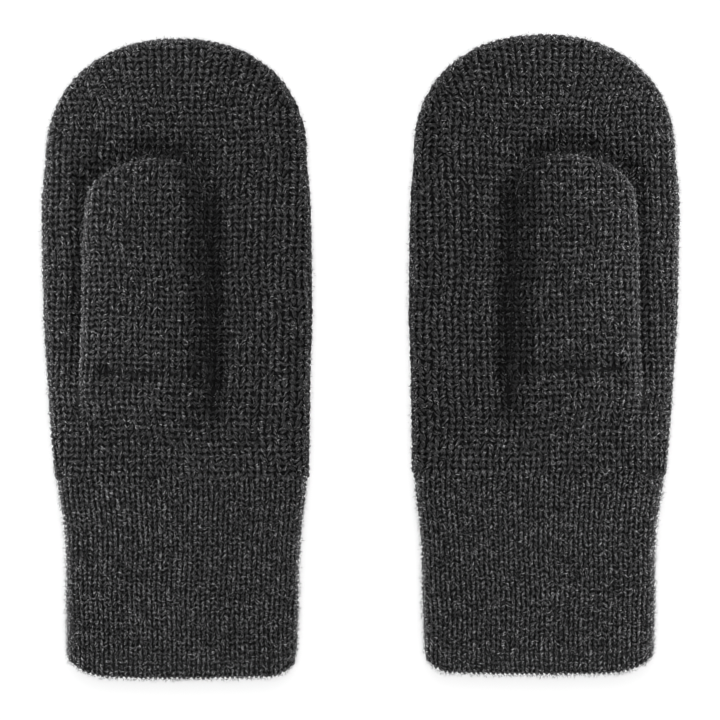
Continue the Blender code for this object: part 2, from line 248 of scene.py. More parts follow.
# A leg's middle line: across in wales, along in courses, lift in mm
LegPoint = namedtuple("LegPoint", "across along lift")
HAND_LEG = (
    LegPoint(0.11, -0.52, -0.76),
    LegPoint(0.17, -0.21, 0.0),
    LegPoint(0.33, 0.21, 0.0),
    LegPoint(0.39, 0.52, -0.76),
)
CUFF_LEG = (
    LegPoint(0.12, -0.58, -0.75),
    LegPoint(0.18, -0.25, 0.0),
    LegPoint(0.32, 0.25, 0.0),
    LegPoint(0.38, 0.58, -0.75),
)

# The strands of a leg: how far each lies aside in wales, its lift in mm, and half its thickness in wales
Strand = namedtuple("Strand", "aside lift thick")
HAND_STRANDS = (Strand(-0.136, -0.05, 0.080), Strand(0.0, 0.0, 0.084), Strand(0.136, -0.06, 0.080))
CUFF_STRANDS = (Strand(-0.103, -0.10, 0.066), Strand(0.0, 0.0, 0.074), Strand(0.103, -0.12, 0.066))
UNDER_HAND_STRANDS = (Strand(-0.077, 0.0, 0.080), Strand(0.077, 0.0, 0.080))
UNDER_CUFF_STRANDS = (Strand(0.0, 0.0, 0.139),)
TUBE_SIDES = 3
STRAND_SQUASH = 0.85

# How far the rows and columns of stitches stray, as slow waves
Wave = namedtuple("Wave", "reach across along phase")
COLUMNS_STRAY = (Wave(0.42, 0.031, 0.125, 0.6), Wave(0.20, 0.060, 0.270, 2.1))
ROWS_STRAY = (Wave(0.40, 0.105, 0.024, 1.3), Wave(0.20, 0.240, 0.050, 0.2))
CUFF_STRAY = 0.6

# Unevenness of the stitches, in wales, courses, radians and mm
STITCH_WANDER = 0.035
LEG_TURN = 0.20
STRAND_TURN = 0.22
STRAND_SLIP = 0.10
STRAND_SWELL = 0.16
MOST_SWELL = 0.3
STRAND_LIFT = 0.06
MOST_LIFT = 0.1

# Loose fibres that lie over the stitches. The arch is a fibre's lift at its ends and middle.
FIBRES_A_STITCH = 6.6
FIBRE_SLANT = (0.75, 0.55)
FIBRE_LENGTH = (0.5, 1.5)
FIBRE_HALF_THICKNESS = (0.05, 0.10)
FIBRE_FROM_WALE = 0.25
FIBRE_STRAY = 0.09
FIBRE_BEND = 0.08
FIBRE_LIFT = (-0.12, 0.12)
FIBRE_ARCH = (-0.12, 0.06, -0.08)

# Hairs that stand out at the edges. HALO_LOWEST keeps them above the floor.
HALO_FIBRES = 4200
HALO_ON_TIP = 0.42
HALO_STRIP = (-2.2, 1.6)
CUFF_HALO_FIBRES = 2100
CUFF_HALO_STRIP = (0.0, 0.042)
RIM_HALO_FIBRES = 1050
RIM_HALO_SPAN = (0.02, 0.98)
RIM_HALO_STRIP = (-0.5, 1.0)
HALO_LENGTH = (0.5, 2.0)
HALO_HALF_THICKNESS = 0.032
HALO_ROOT = 0.25
HALO_TILT = 0.6
HALO_BEND = 0.5
HALO_SHARES = (0.55, 0.45)
HALO_LOWEST = 0.3

# A seed for the random draws of each mitten
SEEDS = {"left": 11, "right": 23}

# The yarns: how light each is, how much lighter its lightest fibres are, and how dark the painted shade at a
# leg's ends is
Yarn = namedtuple("Yarn", "name level light ends")
YARNS = {
    "palm": Yarn("hand_yarn", 0.0348, 2.9, 0.60),
    "back": Yarn("back_yarn", 0.0348, 2.9, 0.60),
    # The thumb's yarn is the hand's, a little lighter: painted light on the raised thumb
    "thumb": Yarn("thumb_yarn", 0.0368, 2.8, 0.60),
    "cuff": Yarn("cuff_yarn", 0.0310, 6.4, 0.34),
}

# The wool's grain: greys as shares of a yarn's level, twist and stretch, and how its tones vary
GREY_STEPS = ((0.34, 0.12), (0.47, 0.6), (0.56, 1.3))
LIGHTEST_STEP = 0.68
BLUE_TINT = 1.02
YARN_TWIST = 0.45
YARN_STRETCH = (4.6, 1.3, 7.3)
YARN_BUMP = 0.00008
STRAND_TONES = (0.66, 1.34)
CLOUD_STRETCH = (110.0, 420.0, 110.0)
CLOUD_REACH = (0.3, 0.7)
CLOUD_TONES = (0.8, 1.2)
# Painted shade on each leg: a little lighter in its middle, darker towards its ends, where it dips under its
# neighbours
PAINTED_SHADE_AT_MIDDLE = 1.08
END_SHADE_REACH = (0.45, 1.25)
# The shell under the stitches is painted dark: painted shade in the gaps between the yarns
UNDER_PAINTED_SHADE_LEVEL = 0.0085
UNDER_GRAIN = 2600.0
LOOSE_TONES = (0.006, 0.48)
# The hairs at the edges are real, but coloured far lighter than the loose fibres: a painted highlight on the
# rims
FUZZ_TONES_PAINTED_HIGHLIGHT = (0.05, 0.85)

# The cut of each piece in metres, all round on a tube
Cut = namedtuple("Cut", "slot width length area rests_on")
CUTS = {
    "back": Cut("hand_knit", 0.084, 0.132, 0.0103, "floor"),
    "palm": Cut("hand_knit", 0.084, 0.132, 0.0103, "back"),
    "cuff": Cut("cuff_rib", 0.146, 0.060, 0.0087, "floor"),
    "thumb": Cut("thumb_knit", 0.079, 0.071, 0.0052, "palm"),
}

# Light, in metres and watts. A key's place is measured from its own mitten, outwards first.
OVERHEAD_PLACE = (0.0, 1.1, 0.9)
OVERHEAD_SIZE = 1.2
OVERHEAD_POWER = 9.0
KEY_PLACE = (0.56, 0.0, 0.27)
KEY_LENGTH = 2.4
KEY_HEIGHT = 0.45
KEY_POWER = 27.0
WORLD_STRENGTH = 0.62
FLOOR_GLOW = 0.72
FLOOR_GREY = 0.45
FLOOR_REACH = 3.0

# Camera: the photo's frame in its pixels, and the size of one of them at the frame's height
PHOTO_PIXELS = 720
PIXEL = 0.2964
PHOTO_CENTRE = (-0.15, -1.04)
FRAME_HEIGHT = 3.0
LENS = 150.0
SENSOR = 36.0

# Guards: the least share of the width at which the way inwards is worked out, and a least length
LEAST_LEVEL = 0.2
LEAST_LENGTH = 1e-9


def smooth_step(share):
    share = np.clip(share, 0.0, 1.0)
    return share * share * (3 - 2 * share)


def edge_room(roll):
    """How much wider the flat cloth is than its outline in plan, at a round edge."""
    return roll * (math.pi / 2 - 1)


class SmoothColumn:
    """A column of a table of sections as a smooth curve through its rows."""

    def __init__(self, sections, column):
        self.at = np.array([row.station for row in sections])
        self.value = np.array([getattr(row, column) for row in sections])
        before, after = np.r_[0, np.arange(len(self.at) - 1)], np.r_[1 : len(self.at), len(self.at) - 1]
        self.slope = (self.value[after] - self.value[before]) / (self.at[after] - self.at[before])

    def __call__(self, station):
        station = np.clip(station, self.at[0], self.at[-1])
        row = np.clip(np.searchsorted(self.at, station, side="right") - 1, 0, len(self.at) - 2)
        span = self.at[row + 1] - self.at[row]
        share = (station - self.at[row]) / span
        return (
            self.value[row] * (1 + 2 * share) * (1 - share) ** 2
            + self.slope[row] * span * share * (1 - share) ** 2
            + self.value[row + 1] * share * share * (3 - 2 * share)
            + self.slope[row + 1] * span * share * share * (share - 1)
        )


class Outline:
    """The outline of a flat mitten or thumb: sections up to its shoulder, then a rounded tip."""

    def __init__(self, sections, shoulder, tip):
        self.shoulder, self.tip_length = shoulder, tip - shoulder
        self.full_width = SmoothColumn(sections, "half_width")
        self.centre = SmoothColumn(sections, "centre")
        self.height = SmoothColumn(sections, "height")

    def width(self, station):
        return self.full_width(np.minimum(station, self.shoulder))

    def inside(self, x, station):
        """How far inside the outline a point lies, and the way inwards, in x and along."""
        full = self.width(station)
        across = (x - self.centre(station)) / full
        along = np.maximum(0.0, station - self.shoulder) / self.tip_length
        level = np.maximum(LEAST_LEVEL, (np.abs(across) ** TIP_POWER + along**TIP_POWER) ** (1 / TIP_POWER))
        slope_x = np.sign(across) * (np.abs(across) / level) ** (TIP_POWER - 1) / full
        slope_y = (along / level) ** (TIP_POWER - 1) / self.tip_length
        steep = np.maximum(np.hypot(slope_x, slope_y), LEAST_LEVEL / full)
        return (1 - level) / steep, -slope_x / steep, -slope_y / steep

    def over_edge(self, x, station, roll):
        """Carries a point of the flat cloth over the round edge. The rise is 0 at the seam, 1 on top."""
        inside, way_x, way_y = self.inside(x, station)
        angle = np.minimum((inside + edge_room(roll)) / roll, math.pi / 2)
        plan = np.where(angle < math.pi / 2, roll * (1 - np.cos(angle)), inside)
        move = plan - inside
        return x + way_x * move, station + way_y * move, np.sin(angle)


HAND = Outline(HAND_SECTIONS, SHOULDER, MITTEN_LENGTH)
THUMB = Outline(THUMB_SECTIONS, THUMB_SHOULDER, THUMB_TIP)
CUFF_HALF_WIDTH = SmoothColumn(CUFF_SECTIONS, "half_width")
CUFF_CENTRE = SmoothColumn(CUFF_SECTIONS, "centre")
THUMB_RIGHT = float(THUMB.centre(SLIT) + THUMB.width(SLIT))


def unit(ways):
    return ways / np.maximum(np.linalg.norm(ways, axis=-1, keepdims=True), LEAST_LENGTH)


def half_round(station):
    """The length from one edge of the cuff over the top to the other."""
    return math.pi * CUFF_RADIUS + 2 * (CUFF_HALF_WIDTH(station) - CUFF_RADIUS)


def palm_height(x, station):
    """The palm's height away from its edges, with the valley beside the thumb."""
    across = (x - HAND.centre(station)) / HAND.width(station)
    start, end = VALLEY_ENDS
    along = smooth_step((station - start) / VALLEY_FADE) * smooth_step((end - station) / VALLEY_FADE)
    off = (x - THUMB_RIGHT - VALLEY_OFFSET) / VALLEY_WIDTH
    drop = EDGE_DROP * (1 - smooth_step(HAND.inside(x, station)[0] / EDGE_DROP_WIDTH))
    return HAND.height(station) - PALM_CROWN * across**2 - drop - VALLEY_DEPTH * along * np.exp(-off * off)


def thumb_thickness(x, station):
    across = (x - THUMB.centre(station)) / THUMB.width(station)
    return THUMB.height(station) * (1 - THUMB_CROWN_SHARE * np.minimum(1.0, across**2))


def ramp_height(x, station):
    """How far the palm rises below the slit, up to the front of the thumb."""
    rise = smooth_step((station - SLIT + SLIT_RAMP) / SLIT_RAMP)
    inside = THUMB.width(SLIT) - np.abs(x - THUMB.centre(SLIT))
    radius = THUMB_ROLL + (1 - rise**2) * RAMP_SOFTNESS
    inward = np.clip(inside / radius, 0.0, 1.0)
    up = np.sqrt(1 - (1 - inward) ** 2)
    return rise * (SEAM_GAP + thumb_thickness(x, SLIT)) * up


def creased(creases, x, station):
    """How deep a set of creases lies at a place. Each fades out towards its ends."""
    deep = np.zeros(np.broadcast(x, station).shape)
    for crease in creases:
        run_x, run_y = crease.end_x - crease.start_x, crease.end_y - crease.start_y
        length = math.hypot(run_x, run_y)
        share = ((x - crease.start_x) * run_x + (station - crease.start_y) * run_y) / length**2
        share = np.clip(share, 0.0, 1.0)
        off_x = x - crease.start_x - share * run_x
        off_y = station - crease.start_y - share * run_y
        bow = crease.bow * 4 * share * (1 - share)
        off_x, off_y = off_x + bow * run_y / length, off_y - bow * run_x / length
        fade = np.sqrt(np.maximum(0.0, np.sin(math.pi * share)))
        deep += crease.depth * fade * np.exp(-(off_x**2 + off_y**2) / crease.width**2)
    return deep


def thumb_trough(x, station):
    """How far the palm sinks round the thumb."""
    inside, way_x, way_y = THUMB.inside(x, station)
    inner, above = smooth_step(0.5 - way_x * TURN_TO_INNER), smooth_step(-TURN_TO_TIP * way_y)
    shares = inner * (1 - above), (1 - inner) * (1 - above), above
    parts = list(zip((INNER_TROUGH, OUTER_TROUGH, TIP_TROUGH), shares))
    offset = sum(trough.offset * share for trough, share in parts)
    width = sum(trough.width * share for trough, share in parts)
    depth = sum(trough.depth * share for trough, share in parts)
    off = (-inside - offset) / width
    fade = smooth_step((station - SLIT + TROUGH_BELOW_SLIT) / TROUGH_FADE)
    return depth * fade * np.exp(-off * off)


def unevenness(x, station, phase):
    """Slow waves in cloth that was never pressed."""
    crossed, slanted = CROSSED_SWELL, SLANTED_SWELL
    first = np.sin(x / crossed.across + phase) * np.sin(station / crossed.along + crossed.shift * phase)
    second = np.sin(x / slanted.across - station / slanted.along + slanted.shift * phase)
    return UNEVEN_HEIGHT * (crossed.share * first + slanted.share * second)


def palm_surface(x, station, ramp=False):
    """The palm's outer face, with its rise below the slit if ramp is set."""
    x, station, rise = HAND.over_edge(x, station, EDGE_ROLL)
    top = palm_height(x, station) - thumb_trough(x, station) - creased(PALM_CREASES, x, station)
    top = np.maximum(top + unevenness(x, station, PALM_PHASE), PALM_LOWEST)
    if ramp:
        top = top + ramp_height(x, station)
    return np.stack([x, station, EDGE_SEAM_HEIGHT + (top - EDGE_SEAM_HEIGHT) * rise], -1)


def ramp_surface(x, station):
    """The palm below the slit, where it rises to the front of the thumb."""
    return palm_surface(x, station, ramp=True)


def back_surface(u, station):
    """The underside. It is laid out from right to left, so that its cloth faces down."""
    x, station, rise = HAND.over_edge(-u, station, EDGE_ROLL)
    lifted = creased(BACK_CREASES, x, station) * rise
    return np.stack([x, station, EDGE_SEAM_HEIGHT * (1 - rise) + lifted], -1)


def half_thumb(x, station):
    """Half the thickness of the thumb, which slopes down towards its inner side."""
    share = (x - THUMB.centre(station)) / THUMB.width(station)
    start = INNER_SLOPE_START - TIP_CORNER * smooth_step((station - TIP_CORNER_START) / TIP_CORNER_LENGTH)
    sloped = INNER_SLOPE * smooth_step((share - start) / (1 - start))
    return (thumb_thickness(x, station) - sloped) / 2


def thumb_surface(x, station):
    x, station, rise = THUMB.over_edge(x, station, THUMB_ROLL)
    low = palm_height(x, station) + SEAM_GAP
    soft = unevenness(x, station, THUMB_PHASE) - creased(THUMB_CREASES, x, station)
    return np.stack([x, station, low + half_thumb(x, station) * (1 + rise) + soft * rise], -1)


def thumb_underside(x, station):
    x, station, rise = THUMB.over_edge(x, station, THUMB_ROLL)
    low = palm_height(x, station) + SEAM_GAP
    return np.stack([x, station, low + half_thumb(x, station) * (1 - rise)], -1)


def cuff_surface(u, along):
    """u goes once round from the left edge over the top, 0 to 1, and back under, 1 to 2.

    along is a length from the rim. Below 0 the cloth has turned in over the rim.
    """
    turn = np.clip(along / CUFF_RIM, -math.pi / 2, math.pi / 2)
    deep = CUFF_RIM * (1 - np.sin(turn))
    past_turn = np.maximum(0.0, np.abs(along) - CUFF_RIM * math.pi / 2)
    station = CUFF_RIM * (1 - np.cos(turn)) + past_turn
    half, centre = CUFF_HALF_WIDTH(station), CUFF_CENTRE(station)
    over = np.where(u <= 1, u, 2 - u)
    straight = 2 * (half - CUFF_RADIUS)
    total = math.pi * CUFF_RADIUS + straight
    length = over * total
    past = np.clip(length - math.pi * CUFF_RADIUS / 2, 0.0, straight)
    angle = (length - past) / CUFF_RADIUS
    radius = CUFF_RADIUS - deep
    x = past - straight / 2 - radius * np.cos(angle)
    up = np.where(u <= 1, 1.0, -1.0) * np.sin(angle)
    crown = np.where(u <= 1, CUFF_CROWN * (1 - (x / half) ** 2) * np.sin(angle), 0.0)
    corner = np.where(x < 0, THUMB_SIDE_CORNER, PLAIN_SIDE_CORNER)
    beyond = np.clip((np.abs(x) - half + corner) / corner, 0.0, 1.0)
    lift = CORNER_LIFT * (1 - np.sqrt(1 - beyond**2)) + MOUTH_BOW * (x / half) ** 2
    fade = np.maximum(0.0, 1 - station / CORNER_FADE)
    return np.stack([centre + x, station + lift * fade, CUFF_RADIUS + radius * up + crown], -1)


def frame_on(surface, x, y):
    """Points of a surface and the way that it faces there."""
    step = 0.06
    along_x = surface(x + step, y) - surface(x - step, y)
    along_y = surface(x, y + step) - surface(x, y - step)
    return surface(x, y), unit(np.cross(along_x, along_y))


def to_world(points, side):
    """From a left mitten's own place to the pair's, in metres. side is 1 for left and -1 for right."""
    out = points.copy()
    out[..., 0] = side * (points[..., 0] - CENTRE_TO_CENTRE / 2)
    out[..., 1] = points[..., 1] - MITTEN_LENGTH / 2 - side * RIGHT_LIES_HIGHER / 2
    return out * MM


def tube_faces(rings):
    """The triangles of one pointed tube, whose points are a tip, its rings and the other tip."""
    last = 1 + rings * TUBE_SIDES
    faces = []
    for here in range(TUBE_SIDES):
        beside = (here + 1) % TUBE_SIDES
        faces.append((0, 1 + here, 1 + beside))
        for ring in range(rings - 1):
            low, high = 1 + ring * TUBE_SIDES, 1 + (ring + 1) * TUBE_SIDES
            faces.append((low + here, high + here, high + beside))
            faces.append((low + here, high + beside, low + beside))
        end = last - TUBE_SIDES
        faces.append((end + here, last, end + beside))
    return np.array(faces)


def yarn_coordinates(lines, around):
    """Each point's place on its own tube: round it, and along it from its middle.

    The first tube's length stands for all.
    """
    length = np.r_[0.0, np.cumsum(np.linalg.norm(np.diff(lines[0], axis=0), axis=-1))]
    length -= length[-1] / 2
    along = np.broadcast_to(length[1:-1, None], around.shape)
    own = np.stack([around, along], -1).reshape(len(lines), -1, 2)
    tip = np.zeros((len(lines), 1, 2))
    return np.concatenate([tip + [0.0, length[0]], own, tip + [0.0, length[-1]]], 1)


def tubes(lines, facing, thick, squash=1.0):
    """Points, triangles and yarn coordinates of pointed tubes along lines, tubes x points x 3."""
    ahead = np.empty_like(lines)
    ahead[:, 1:-1] = lines[:, 2:] - lines[:, :-2]
    ahead[:, 0] = lines[:, 1] - lines[:, 0]
    ahead[:, -1] = lines[:, -1] - lines[:, -2]
    sideways = unit(np.cross(unit(ahead), facing))
    angle = 2 * math.pi * np.arange(TUBE_SIDES) / TUBE_SIDES
    ring = (
        np.cos(angle)[:, None] * sideways[:, 1:-1, None, :]
        + squash * np.sin(angle)[:, None] * facing[:, 1:-1, None, :]
    )
    rings = lines[:, 1:-1, None, :] + thick[:, 1:-1, None, None] * ring
    count, number = lines.shape[0], lines.shape[1] - 2
    points = np.concatenate([lines[:, :1], rings.reshape(count, number * TUBE_SIDES, 3), lines[:, -1:]], 1)
    faces = tube_faces(number)[None] + (np.arange(count) * points.shape[1])[:, None, None]
    return points, faces, yarn_coordinates(lines, thick[:, 1:-1, None] * angle)


def joined_mesh(name, parts, side):
    """One object from (points, triangles, yarn coordinates) of many small pieces."""
    points, faces, yarn = ([kind.reshape(-1, 3) for kind in kinds] for kinds in zip(*parts))
    starts = np.cumsum([0] + [len(some) for some in points])
    faces = np.concatenate([some + start for some, start in zip(faces, starts)])
    points, yarn = np.concatenate(points), np.concatenate(yarn)
    if side < 0:
        faces = faces[:, ::-1]
    mesh = bpy.data.meshes.new(name)
    mesh.vertices.add(len(points))
    mesh.vertices.foreach_set("co", to_world(points, side).astype(np.float32).ravel())
    mesh.loops.add(faces.size)
    mesh.loops.foreach_set("vertex_index", faces.astype(np.int32).ravel())
    mesh.polygons.add(len(faces))
    mesh.polygons.foreach_set("loop_start", np.arange(0, faces.size, 3, dtype=np.int32))
    mesh.update(calc_edges=True)
    mesh.shade_smooth()
    mesh.attributes.new("yarn", "FLOAT_VECTOR", "POINT")
    mesh.attributes["yarn"].data.foreach_set("vector", yarn.astype(np.float32).ravel())
    piece = bpy.data.objects.new(name, mesh)
    bpy.context.scene.collection.objects.link(piece)
    return piece


def with_number(own, rng):
    """Yarn coordinates with a random number for each tube in their third place."""
    number = rng.uniform(0, 1000, (own.shape[0], 1, 1))
    return np.concatenate([own, np.broadcast_to(number, own.shape[:2] + (1,))], -1)


def strand_runs(leg, strands, wale, course, rng):
    """Where each leg's strands run in plan, before the left legs are mirrored.

    The arrays are stitches x legs x strands x points.
    """
    each_leg = (len(wale), 2, 1, 1)
    each_strand = (len(wale), 2, len(strands), 1)
    run_x, run_y = leg[:, 0] * wale, leg[:, 1] * course
    middle_x, middle_y = run_x.mean(-1, keepdims=True), run_y.mean(-1, keepdims=True)
    slant = np.arctan2(run_x[..., 2:3] - run_x[..., 1:2], run_y[..., 2:3] - run_y[..., 1:2])
    turn = rng.normal(0, LEG_TURN, each_leg) + rng.normal(0, STRAND_TURN, each_strand)
    slip = rng.normal(0, STRAND_SLIP, each_strand) * course
    off_x, off_y = run_x - middle_x, run_y - middle_y + slip
    aside = strands[:, 0][:, None] * wale
    from_x = middle_x + off_x * np.cos(turn) + off_y * np.sin(turn) + aside * np.cos(slant)
    from_y = middle_y - off_x * np.sin(turn) + off_y * np.cos(turn) - aside * np.sin(slant)
    return from_x, from_y


def stitches(surface, lattice, leg, strands, sink, rng, scale=1.0):
    """Two legs for each stitch and a few strands for each leg. scale turns mm across into the surface's u."""
    x, y, wale, course = (column.reshape(-1, 1, 1, 1) for column in lattice)
    leg, strands = np.array(leg), np.array(strands)
    from_x, from_y = strand_runs(leg, strands, wale, course, rng)
    wander_x = rng.normal(0, STITCH_WANDER, wale.shape) * wale
    wander_y = rng.normal(0, STITCH_WANDER, wale.shape) * course
    mirror = np.array([-1.0, 1.0]).reshape(1, 2, 1, 1)
    points, facing = frame_on(surface, x + scale * (mirror * from_x + wander_x), y + from_y + wander_y)
    each_strand = (len(x), 2, len(strands), 1)
    lift, thick = strands[:, 1][:, None], strands[:, 2][:, None] * wale
    stray = rng.normal(0, STRAND_LIFT, each_strand).clip(-MOST_LIFT, MOST_LIFT)
    height = leg[:, 2] + lift - sink + stray
    points = points + facing * height[..., None]
    swell = 1 + rng.normal(0, STRAND_SWELL, each_strand).clip(-MOST_SWELL, MOST_SWELL)
    shape = (-1, len(leg), 3)
    thick = np.broadcast_to(thick * swell, points.shape[:-1]).reshape(shape[:2])
    made, faces, own = tubes(points.reshape(shape), facing.reshape(shape), thick, STRAND_SQUASH)
    return made, faces, with_number(own, rng)


def waves(some, x, y):
    return sum(wave.reach * np.sin(wave.across * x + wave.along * y + wave.phase) for wave in some)


def hand_lattice(first, last, start, end):
    """Centres and sizes of the stitches of a hand or thumb: wales that widen and fan towards the tip."""
    wale, course = np.meshgrid(np.arange(first, last + 1), np.arange(start, end, HAND_COURSE))
    beyond = np.maximum(0, wale - FIRST_WIDE_WALE)
    fan = 1 + TIP_FAN * smooth_step((course - FAN_START) / (MITTEN_LENGTH - FAN_START))
    x = (HAND_WALE * wale + WALE_GROWTH * beyond**2 / 2) * fan
    size = (HAND_WALE + WALE_GROWTH * beyond) * fan
    station = course + waves(ROWS_STRAY, x, course)
    x = x + waves(COLUMNS_STRAY, x, course)
    return x.ravel(), station.ravel(), size.ravel(), np.full(x.size, HAND_COURSE)


def kept(lattice, mask):
    """The stitches that a mask keeps."""
    return [column[mask] for column in lattice]


def whole_hand_lattice():
    """The stitches of one side of the hand, with those on its round edge."""
    lattice = hand_lattice(*HAND_WALES, CUFF_LENGTH + FIRST_ROW, MITTEN_LENGTH + PAST_HAND_TIP)
    x, station = lattice[:2]
    return kept(lattice, HAND.inside(x, station)[0] > -edge_room(EDGE_ROLL) - EDGE_OVERLAP)


def palm_lattices():
    """The palm's stitches below the slit and past it, without those that the thumb hides."""
    lattice = whole_hand_lattice()
    x, station = lattice[:2]
    past = station > SLIT + SEAM_GAP
    under_thumb = THUMB.inside(x, station)[0] > HIDDEN_UNDER_THUMB
    return kept(lattice, ~past), kept(lattice, past & ~under_thumb)


def back_lattice():
    """The back's stitches, whose x runs the other way."""
    x, *others = whole_hand_lattice()
    return [-x, *others]


def thumb_lattice():
    lattice = hand_lattice(*THUMB_WALES, CUFF_LENGTH + FIRST_ROW, THUMB_TIP + PAST_THUMB_TIP)
    x, station = lattice[:2]
    on_thumb = THUMB.inside(x, station)[0] > -edge_room(THUMB_ROLL) - THUMB_ROLL
    return kept(lattice, on_thumb & (station > SLIT + SEAM_GAP))


def cuff_lattice(first, last):
    """Wales from first to last of all those round the cuff."""
    wales = (np.arange(first, last) + 0.5) * 2 / CUFF_WALES_ROUND
    start = -TURNED_IN_ROWS * CUFF_COURSE
    u, along = np.meshgrid(wales, np.arange(start, CUFF_LENGTH + EDGE_OVERLAP, CUFF_COURSE))
    total = half_round(along)
    size = total * 2 / CUFF_WALES_ROUND
    stray_u = CUFF_STRAY * waves(COLUMNS_STRAY, u * total, along) / total
    stray_along = CUFF_STRAY * waves(ROWS_STRAY, u * total, along)
    return (u + stray_u).ravel(), (along + stray_along).ravel(), size.ravel(), np.full(u.size, CUFF_COURSE)


def surface_fibres(surface, lattice, rng, scale=None):
    """Short loose fibres that lie over the stitches, most of them slanting as the leg under them does."""
    x, y, wale, course = lattice
    pick = rng.integers(0, len(x), int(len(x) * FIBRES_A_STITCH))
    count = len(pick)
    half = rng.uniform(*FIBRE_LENGTH, count) / 2
    mirror = rng.choice([-1, 1], count)
    slant = mirror * rng.normal(*FIBRE_SLANT, count)
    off_x = (FIBRE_FROM_WALE * mirror + rng.normal(0, FIBRE_STRAY, count)) * wale[pick]
    off_y = rng.uniform(-0.5, 0.5, count) * course[pick]
    reach = np.array([-1.0, 0.0, 1.0])
    at_x = off_x[:, None] + reach * (half * np.sin(slant))[:, None]
    at_x[:, 1] += rng.normal(0, FIBRE_BEND, count)
    across = scale(y[pick]) if scale else np.ones(count)
    at_x = x[pick][:, None] + across[:, None] * at_x
    at_y = (y[pick] + off_y)[:, None] + reach * (half * np.cos(slant))[:, None]
    points, facing = frame_on(surface, at_x, at_y)
    lift = rng.uniform(*FIBRE_LIFT, (count, 1)) + np.array(FIBRE_ARCH)
    points = points + facing * lift[..., None]
    thick = np.zeros((count, 3))
    thick[:, 1] = rng.uniform(*FIBRE_HALF_THICKNESS, count)
    made, faces, own = tubes(points, facing, thick)
    return made, faces, with_number(own, rng)


def halo_fibres(surface, x, y, rng):
    """Fine hairs that stand out from the surface, bent over."""
    count = len(x)
    points, facing = frame_on(surface, x, y)
    outward = unit(facing + rng.normal(0, HALO_TILT, (count, 3)))
    bend = unit(outward + rng.normal(0, HALO_BEND, (count, 3)))
    length = rng.uniform(*HALO_LENGTH, (count, 1))
    first, second = HALO_SHARES
    root = points - facing * HALO_ROOT
    middle = root + outward * length * first
    line = np.stack([root, middle, middle + bend * length * second], 1)
    line[..., 2] = np.maximum(line[..., 2], HALO_LOWEST)
    up = np.broadcast_to(rng.normal(0, 1, (count, 1, 3)), line.shape)
    thick = np.zeros((count, 3))
    thick[:, 1] = HALO_HALF_THICKNESS
    made, faces, own = tubes(line, up, thick)
    return made, faces, with_number(own, rng)


def cuff_scale(along):
    """Turns a length across the cuff into a share of half its round."""
    return 1 / half_round(along)


def outline_rows(outline, first, roll, fineness):
    """Stations and half widths of a flat piece's rows, with the cloth that goes over its round edge."""
    room = edge_room(roll)
    stations = np.arange(first, outline.shoulder, fineness.row_step)
    halves = outline.width(stations) + room
    turn = np.linspace(0, math.pi / 2, fineness.tip_rows)
    across, along = np.cos(turn) ** (2 / TIP_POWER), np.sin(turn) ** (2 / TIP_POWER)
    full = outline.width(outline.shoulder)
    face_x = across ** (TIP_POWER - 1) / full
    face_y = along ** (TIP_POWER - 1) / outline.tip_length
    steep = np.hypot(face_x, face_y)
    tip_stations = outline.shoulder + outline.tip_length * along + room * face_y / steep
    tip_halves = full * across + room * face_x / steep
    return np.r_[stations, tip_stations], np.r_[halves, tip_halves]


def outline_grid(outline, first, roll, surface, sink, fineness=FINE):
    """Points of a flat piece in rows, closer together on its round edges and less deep there."""
    stations, halves = outline_rows(outline, first, roll, fineness)
    spread = np.sin(np.linspace(-1, 1, fineness.columns) * EDGE_GATHER) / math.sin(EDGE_GATHER)
    x = outline.centre(stations)[:, None] + halves[:, None] * spread
    stations = stations[:, None] + 0 * x
    points, facing = frame_on(surface, x, stations)
    well_inside = smooth_step((outline.inside(x, stations)[0] + edge_room(roll)) / EDGE_SINK_WIDTH)
    deep = sink * (EDGE_SINK_SHARE + (1 - EDGE_SINK_SHARE) * well_inside)
    return points - facing * deep[..., None]


def palm_grid(sink):
    """The palm with its ramp, which ends at the slit."""
    low = outline_grid(HAND, HAND_SHELL_START, EDGE_ROLL, ramp_surface, sink)
    high = outline_grid(HAND, HAND_SHELL_START, EDGE_ROLL, palm_surface, sink)
    past = outline_rows(HAND, HAND_SHELL_START, EDGE_ROLL, FINE)[0] > SLIT
    return np.where(past[:, None, None], high, low)


def cuff_grid(sink):
    """The cuff, from inside its mouth over the rim and up to the hand, where it is tucked under."""
    plain = np.arange(FIRST_PLAIN_ROW, CUFF_LENGTH, FINE.row_step)
    last = [CUFF_LENGTH - SEAM_GAP / 2, CUFF_LENGTH + CUFF_TUCK]
    rows = np.r_[np.linspace(*MOUTH_ROWS), np.linspace(*RIM_ROWS), plain, last]
    u, along = np.meshgrid(np.linspace(0, 2, CUFF_SHELL_COLUMNS + 1), rows)
    points, facing = frame_on(cuff_surface, u, along)
    deep = np.where(along > CUFF_LENGTH, TUCKED_SINK, sink)
    return points - facing * deep[..., None]


def cloth_shell(name, grids, side, material):
    """A thin wall of cloth from one or two grids of points on its outer face, welded where they meet."""
    made = bmesh.new()
    for grid, turned in grids:
        rows = [[made.verts.new(point) for point in row] for row in to_world(grid, side)]
        for low, high in zip(rows, rows[1:]):
            for a, b, c, d in zip(low, low[1:], high[1:], high):
                made.faces.new((a, b, c, d) if turned == (side < 0) else (d, c, b, a))
    bmesh.ops.remove_doubles(made, verts=made.verts, dist=WELD_REACH)
    bmesh.ops.dissolve_degenerate(made, edges=made.edges, dist=WELD_REACH)
    mesh = bpy.data.meshes.new(name)
    made.to_mesh(mesh)
    made.free()
    mesh.materials.append(material)
    mesh.shade_smooth()
    piece = bpy.data.objects.new(name, mesh)
    bpy.context.scene.collection.objects.link(piece)
    wall = piece.modifiers.new("wall", "SOLIDIFY")
    wall.thickness = SHELL_WALL * MM
    wall.offset = -1
    return piece


